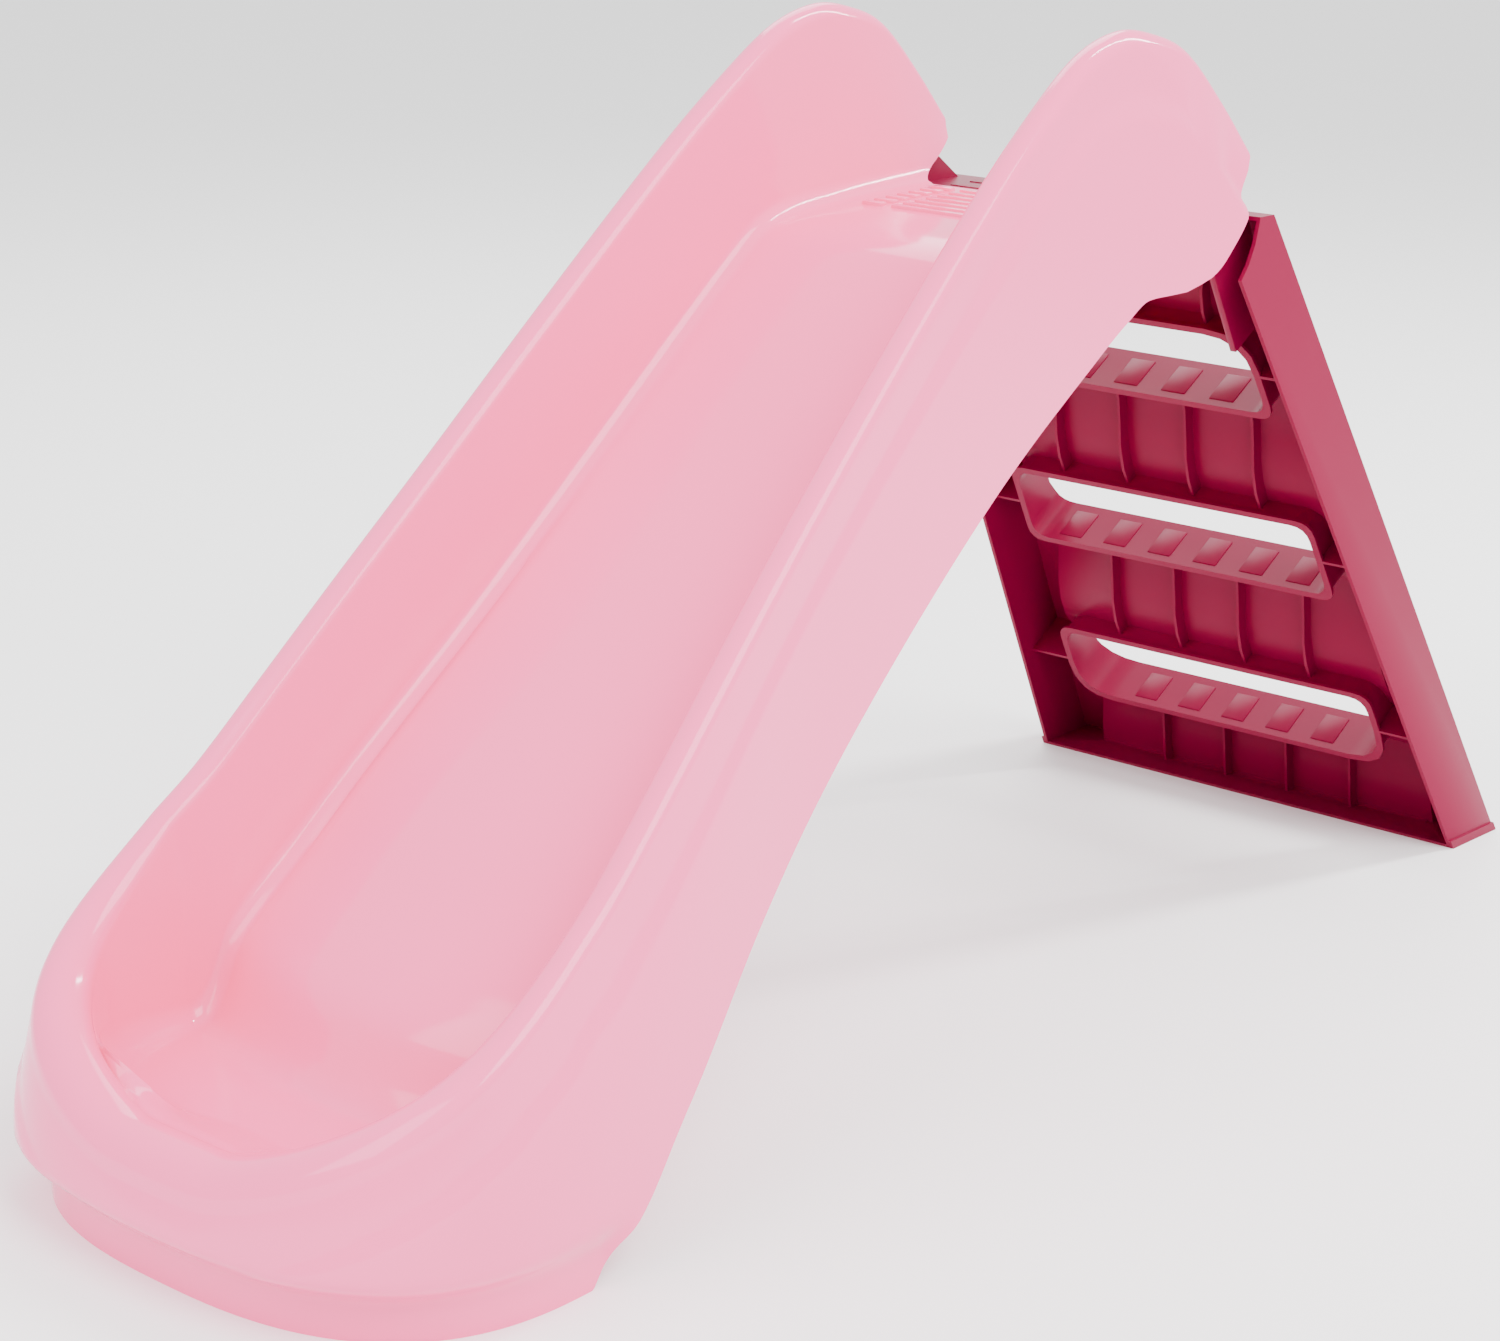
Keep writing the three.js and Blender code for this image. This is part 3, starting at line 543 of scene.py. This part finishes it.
def moulded_surface_group():
    """Slow colour drift, fine gloss mottle and shallow flow ripples of moulded plastic."""
    group = new_group("moulded_surface", [
        ("Colour", "NodeSocketColor", (0.8, 0.8, 0.8, 1.0)),
        ("Deep Colour", "NodeSocketColor", (0.5, 0.5, 0.5, 1.0)),
        ("Drift", "NodeSocketFloat", 0.08),
        ("Gloss Low", "NodeSocketFloat", 0.2),
        ("Gloss High", "NodeSocketFloat", 0.3),
    ], [("Colour", "NodeSocketColor"), ("Roughness", "NodeSocketFloat"), ("Height", "NodeSocketFloat")])
    nodes, links = group.nodes, group.links
    given = nodes.new("NodeGroupInput")
    made = nodes.new("NodeGroupOutput")
    place = nodes.new("ShaderNodeTexCoord")
    slow = nodes.new("ShaderNodeTexNoise")
    slow.inputs["Scale"].default_value = DRIFT_SCALE
    slow.inputs["Detail"].default_value = 2.0
    fine = nodes.new("ShaderNodeTexNoise")
    fine.inputs["Scale"].default_value = MOTTLE_SCALE
    fine.inputs["Detail"].default_value = 3.0
    ripple = nodes.new("ShaderNodeTexNoise")
    ripple.inputs["Scale"].default_value = RIPPLE_SCALE
    ripple.inputs["Detail"].default_value = 1.0
    for texture in (slow, fine, ripple):
        links.new(place.outputs["Object"], texture.inputs["Vector"])
    amount = nodes.new("ShaderNodeMath")
    amount.operation = "MULTIPLY"
    links.new(slow.outputs["Fac"], amount.inputs[0])
    links.new(given.outputs["Drift"], amount.inputs[1])
    tint = nodes.new("ShaderNodeMix")
    tint.data_type = "RGBA"
    links.new(amount.outputs[0], tint.inputs["Factor"])
    links.new(given.outputs["Colour"], tint.inputs["A"])
    links.new(given.outputs["Deep Colour"], tint.inputs["B"])
    gloss = nodes.new("ShaderNodeMapRange")
    links.new(fine.outputs["Fac"], gloss.inputs["Value"])
    links.new(given.outputs["Gloss Low"], gloss.inputs["To Min"])
    links.new(given.outputs["Gloss High"], gloss.inputs["To Max"])
    height = nodes.new("ShaderNodeMath")
    height.operation = "MULTIPLY_ADD"
    links.new(fine.outputs["Fac"], height.inputs[0])
    height.inputs[1].default_value = MOTTLE_HEIGHT
    links.new(ripple.outputs["Fac"], height.inputs[2])
    links.new(tint.outputs["Result"], made.inputs["Colour"])
    links.new(gloss.outputs["Result"], made.inputs["Roughness"])
    links.new(height.outputs[0], made.inputs["Height"])
    return group


def plastic(name, surface, colour, deep, gloss, shine, drift=0.10, ripple=0.0006):
    """Glossy moulded plastic."""
    material = bpy.data.materials.new(name)
    material.use_nodes = True
    nodes, links = material.node_tree.nodes, material.node_tree.links
    shader = nodes["Principled BSDF"]
    look = nodes.new("ShaderNodeGroup")
    look.node_tree = surface
    look.inputs["Colour"].default_value = colour
    look.inputs["Deep Colour"].default_value = deep
    look.inputs["Drift"].default_value = drift
    look.inputs["Gloss Low"].default_value = gloss[0]
    look.inputs["Gloss High"].default_value = gloss[1]
    bump = nodes.new("ShaderNodeBump")
    bump.inputs["Strength"].default_value = BUMP_STRENGTH
    bump.inputs["Distance"].default_value = ripple
    links.new(look.outputs["Colour"], shader.inputs["Base Color"])
    links.new(look.outputs["Roughness"], shader.inputs["Roughness"])
    links.new(look.outputs["Height"], bump.inputs["Height"])
    links.new(bump.outputs["Normal"], shader.inputs["Normal"])
    shader.inputs["IOR"].default_value = PLASTIC_IOR
    shader.inputs["Specular IOR Level"].default_value = shine
    return material


# ---------------------------------------------------------------------------------------------
# Settings
# ---------------------------------------------------------------------------------------------

class SlideColours(bpy.types.PropertyGroup):
    """Colours and gloss of the slide's plastics."""

    chute: bpy.props.FloatVectorProperty(
        name="Chute", description="Colour of the chute's plastic", subtype="COLOR", size=4,
        min=0.0, max=1.0, default=(0.95, 0.125, 0.325, 1.0))
    ladder: bpy.props.FloatVectorProperty(
        name="Ladder", description="Colour of the ladder's plastic", subtype="COLOR", size=4,
        min=0.0, max=1.0, default=(0.19, 0.0012, 0.031, 1.0))
    chute_roughness: bpy.props.FloatProperty(
        name="Chute Roughness", description="Surface roughness of the chute",
        min=0.0, max=1.0, default=0.10)
    ladder_roughness: bpy.props.FloatProperty(
        name="Ladder Roughness", description="Surface roughness of the ladder",
        min=0.0, max=1.0, default=0.30)


class SlideStage(bpy.types.PropertyGroup):
    """Camera and light of the stage."""

    lens: bpy.props.FloatProperty(
        name="Lens", description="Focal length of the camera", unit="CAMERA", default=77.1)
    key_power: bpy.props.FloatProperty(
        name="Key Light", description="Power of the large soft light", unit="POWER", default=140.0)
    sky: bpy.props.FloatProperty(
        name="Sky", description="Strength of the even white surround", min=0.0, default=1.8)


def colours():
    """The scene's colour settings."""
    return bpy.context.scene.slide_colours


def pink():
    """The chute's plastic, made once."""
    known = bpy.data.materials.get("chute_plastic")
    if known:
        return known
    surface = bpy.data.node_groups.get("moulded_surface") or moulded_surface_group()
    gloss = [colours().chute_roughness + change for change in CHUTE_MOTTLE]
    return plastic("chute_plastic", surface, colours().chute, CHUTE_DEEP, gloss, CHUTE_SHINE)


def raspberry():
    """The ladder's plastic, made once."""
    known = bpy.data.materials.get("ladder_plastic")
    if known:
        return known
    surface = bpy.data.node_groups.get("moulded_surface") or moulded_surface_group()
    gloss = [colours().ladder_roughness + change for change in LADDER_MOTTLE]
    return plastic("ladder_plastic", surface, colours().ladder, LADDER_DEEP, gloss, LADDER_SHINE)


def steel():
    """Drawn steel of the hinge pins."""
    material = bpy.data.materials.new("steel")
    material.use_nodes = True
    nodes, links = material.node_tree.nodes, material.node_tree.links
    shader = nodes["Principled BSDF"]
    place = nodes.new("ShaderNodeTexCoord")
    drawn = nodes.new("ShaderNodeMapping")
    drawn.inputs["Scale"].default_value = DRAW_SCALE
    grain = nodes.new("ShaderNodeTexNoise")
    grain.inputs["Scale"].default_value = 1.0
    gloss = nodes.new("ShaderNodeMapRange")
    gloss.inputs["To Min"].default_value = STEEL_GLOSS[0]
    gloss.inputs["To Max"].default_value = STEEL_GLOSS[1]
    links.new(place.outputs["Object"], drawn.inputs["Vector"])
    links.new(drawn.outputs["Vector"], grain.inputs["Vector"])
    links.new(grain.outputs["Fac"], gloss.inputs["Value"])
    links.new(gloss.outputs["Result"], shader.inputs["Roughness"])
    shader.inputs["Base Color"].default_value = STEEL_COLOUR
    shader.inputs["Metallic"].default_value = 1.0
    return material


# ---------------------------------------------------------------------------------------------
# Pieces
# ---------------------------------------------------------------------------------------------

NOSE_GAP = 0.003                 # last side row, short of the nose centre
NOSE_ROWS = 97
STATIONS = ((0.0, 0.16, 33), (0.16, 0.70, 61), (0.70, NOSE_CENTRE - NOSE_GAP, 22))   # from, to, rows
CHUTE_CREASE = 50.0              # degrees from which an edge of the chute stays crisp
LADDER_CREASE = 30.0
BEVEL_FROM = math.radians(40.0)
FLAT_WITHIN = math.radians(0.5)


class SLIDE_OT_chute(bpy.types.Operator):
    """Build the chute's moulded shell"""

    bl_idname = "slide.chute"
    bl_label = "Chute"

    def execute(self, context):
        stations = np.concatenate([np.linspace(start, end, count)[:-1] for start, end, count in STATIONS]
                                  + [[NOSE_CENTRE - NOSE_GAP]])
        angles = np.linspace(math.pi / 2, -math.pi / 2, NOSE_ROWS)
        grids = []
        for depth in (0.0, WALL):
            rows = {hand: [side_row(x, hand, depth) if x < REAR_BLEND else plain_row(x, hand, depth)
                           for x in stations] for hand in (1, -1)}
            nose = [nose_row(angle, depth) for angle in angles]
            whole = np.array(rows[1] + nose + rows[-1][::-1])
            grids.append(bowed(whole) + np.array([REAR, 0.0, GROUND]))
        piece = add_piece("chute_shell", shell_mesh("chute_shell", *grids), pink())
        shade_smooth(piece.data, CHUTE_CREASE)
        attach(piece, "chute")
        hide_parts("chute")
        return {"FINISHED"}


class SLIDE_OT_deck_ridges(bpy.types.Operator):
    """Build the anti-slip ridges across the seat"""

    bl_idname = "slide.deck_ridges"
    bl_label = "Deck Ridges"

    def execute(self, context):
        first = DECK_REAR + RIDGE_START
        last = first + (RIDGES - 1) * RIDGE_PITCH
        rise = (float(floor_top(last)) - float(floor_top(first))) / (RIDGES - 1)
        step = Vector((RIDGE_PITCH, 0.0, rise))
        rows = []
        ends = [(RIDGE_END_SIZE, hand * RIDGE_END_OUT) for hand in (1, -1)]
        for size, aside in [(RIDGE_SIZE, 0.0)] + ends:
            start = Vector((REAR + first, aside, GROUND + float(floor_top(first))))
            rows.append(pad_row(pad_mesh("ridge", size), RIDGES, start, step, pink()))
        trim("deck_ridges", rows, pink(), "chute")
        return {"FINISHED"}


class SLIDE_OT_ladder(bpy.types.Operator):
    """Build the ladder's moulded tray"""

    bl_idname = "slide.ladder"
    bl_label = "Ladder"

    def execute(self, context):
        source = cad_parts["ladder"]
        mesh = source.data.copy()
        mesh.transform(source.matrix_world)
        bm = bmesh.new()
        bm.from_mesh(mesh)
        bmesh.ops.remove_doubles(bm, verts=bm.verts, dist=1e-6)
        bmesh.ops.dissolve_limit(bm, angle_limit=FLAT_WITHIN, verts=bm.verts, edges=bm.edges)
        bm.to_mesh(mesh)
        bm.free()
        piece = add_piece("ladder_tray", mesh, raspberry())
        bevel = piece.modifiers.new("soft_edges", "BEVEL")
        bevel.width = BEVEL
        bevel.segments = 2
        bevel.limit_method = "ANGLE"
        bevel.angle_limit = BEVEL_FROM
        shade_smooth(piece.data, LADDER_CREASE)
        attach(piece, "ladder")
        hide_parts("ladder")
        return {"FINISHED"}


class SLIDE_OT_tread_pads(bpy.types.Operator):
    """Build the grip pads on the treads and on the top step"""

    bl_idname = "slide.tread_pads"
    bl_label = "Tread Pads"

    def execute(self, context):
        step = Vector((0.0, PAD_PITCH, 0.0))
        rows = []
        for along, count in TREADS:
            first = on_ladder(TREAD_DEPTH * PAD_SETBACK, along, -PAD_PITCH * (count - 1) / 2)
            rows.append(pad_row(pad_mesh("pad", PAD_SIZE, LADDER_LEAN), count, first, step, raspberry()))
        start = on_ladder(0.0, TOP_STEP / math.cos(LADDER_LEAN)).x + STEP_PAD_START
        aside = -PAD_PITCH * (STEP_PADS - 1) / 2
        for row in range(STEP_PAD_ROWS):
            first = Vector((start + row * STEP_PAD_PITCH, aside, GROUND + TOP_STEP))
            rows.append(pad_row(pad_mesh("pad", STEP_PAD_SIZE), STEP_PADS, first, step, raspberry()))
        trim("tread_pads", rows, raspberry(), "ladder")
        return {"FINISHED"}


class SLIDE_OT_pins(bpy.types.Operator):
    """Finish the hinge pins"""

    bl_idname = "slide.pins"
    bl_label = "Hinge Pins"

    def execute(self, context):
        metal = steel()
        for side in ("left", "right"):
            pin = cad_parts[f"hinge_pin_{side}"]
            pin.data.materials.clear()
            pin.data.materials.append(metal)
        return {"FINISHED"}


CAMERA_AHEAD = 1.964             # camera forward of the rear tips
CAMERA_ASIDE = 1.3425
CAMERA_HEIGHT = 0.893
CAMERA_BEARING = 0.70725         # radians round from straight ahead of the slide
CAMERA_DIP = 0.31748
CAMERA_TILT = 0.0166
CAMERA_SHIFT = (0.0062, 0.0156)
SENSOR_WIDTH = 36.0
FLOOR_HALF = 12.0
FLOOR_COLOUR = (0.92, 0.92, 0.92, 1.0)
FLOOR_ROUGHNESS = 0.9
LIGHTS = (                       # name, place from the slide's middle, size, share of the key's power
    ("key", (0.6, 2.2, 2.4), (2.0, 2.0), 1.0),
    ("front", (2.6, -0.4, 1.8), (2.0, 2.0), 0.5),
    ("back", (-1.8, -1.6, 2.2), (1.8, 1.8), 0.4),
    ("strip", (-1.9, 0.9, 1.9), (0.06, 2.4), 0.6),
)


class SLIDE_OT_stage(bpy.types.Operator):
    """Set up the floor, light and camera"""

    bl_idname = "slide.stage"
    bl_label = "Stage"

    def execute(self, context):
        scene = context.scene
        floor_mesh = bpy.data.meshes.new("floor")
        corners = [(x * FLOOR_HALF, y * FLOOR_HALF, GROUND) for x, y in ((-1, -1), (1, -1), (1, 1), (-1, 1))]
        floor_mesh.from_pydata(corners, [], [(0, 1, 2, 3)])
        white = bpy.data.materials.new("floor_white")
        white.use_nodes = True
        paint = white.node_tree.nodes["Principled BSDF"]
        paint.inputs["Base Color"].default_value = FLOOR_COLOUR
        paint.inputs["Roughness"].default_value = FLOOR_ROUGHNESS
        floor = add_piece("floor", floor_mesh, white)

        world = scene.world or bpy.data.worlds.new("studio")
        scene.world = world
        world.use_nodes = True
        background = world.node_tree.nodes["Background"]
        background.inputs["Color"].default_value = (1.0, 1.0, 1.0, 1.0)
        background.inputs["Strength"].default_value = scene.slide_stage.sky

        power = scene.slide_stage.key_power
        middle = (CAD_BOX[0] + CAD_BOX[1]) / 2
        for name, offset, size, share in LIGHTS:
            light = bpy.data.lights.new(name, "AREA")
            light.shape = "RECTANGLE"
            light.size, light.size_y = size
            light.energy = power * share
            lamp = bpy.data.objects.new(name, light)
            scene.collection.objects.link(lamp)
            lamp.location = middle + Vector(offset)
            lamp.rotation_euler = (-Vector(offset)).to_track_quat("-Z", "Y").to_euler()

        camera_data = bpy.data.cameras.new("camera")
        camera_data.lens = scene.slide_stage.lens
        camera_data.sensor_width = SENSOR_WIDTH
        camera_data.shift_x, camera_data.shift_y = CAMERA_SHIFT
        camera = bpy.data.objects.new("camera", camera_data)
        scene.collection.objects.link(camera)
        level = math.cos(CAMERA_DIP)
        forward = Vector((-math.cos(CAMERA_BEARING) * level, -math.sin(CAMERA_BEARING) * level,
                          -math.sin(CAMERA_DIP)))
        right = forward.cross(Vector((0.0, 0.0, 1.0))).normalized()
        up = right.cross(forward)
        turn = Matrix((right, up, -forward)).transposed()
        place = Vector((REAR + CAMERA_AHEAD, CAMERA_ASIDE, CAMERA_HEIGHT))
        camera.matrix_world = Matrix.Translation(place) @ Matrix.Rotation(CAMERA_TILT, 4, "Y") @ turn.to_4x4()
        scene.camera = camera
        return {"FINISHED"}


class SLIDE_PT_panel(bpy.types.Panel):
    """The slide's settings and the operators that build it"""

    bl_label = "Toddler Slide"
    bl_idname = "SLIDE_PT_panel"
    bl_space_type = "VIEW_3D"
    bl_region_type = "UI"
    bl_category = "Slide"

    def draw(self, context):
        layout = self.layout
        for group in (context.scene.slide_colours, context.scene.slide_stage):
            for key in group.__annotations__:
                layout.prop(group, key)
        for operator in OPERATORS:
            layout.operator(operator.bl_idname)


OPERATORS = (SLIDE_OT_chute, SLIDE_OT_deck_ridges, SLIDE_OT_ladder, SLIDE_OT_tread_pads, SLIDE_OT_pins,
             SLIDE_OT_stage)
CLASSES = (SlideColours, SlideStage, *OPERATORS, SLIDE_PT_panel)


def register():
    """Register the add-on's classes and settings."""
    for cls in CLASSES:
        bpy.utils.register_class(cls)
    bpy.types.Scene.slide_colours = bpy.props.PointerProperty(type=SlideColours)
    bpy.types.Scene.slide_stage = bpy.props.PointerProperty(type=SlideStage)


def unregister():
    """Remove the settings and classes."""
    del bpy.types.Scene.slide_stage
    del bpy.types.Scene.slide_colours
    for cls in reversed(CLASSES):
        bpy.utils.unregister_class(cls)


def main():
    """Build the slide and its stage."""
    register()
    for operator in OPERATORS:
        group, name = operator.bl_idname.split(".")
        getattr(getattr(bpy.ops, group), name)()


if __name__ == "__main__":
    main()
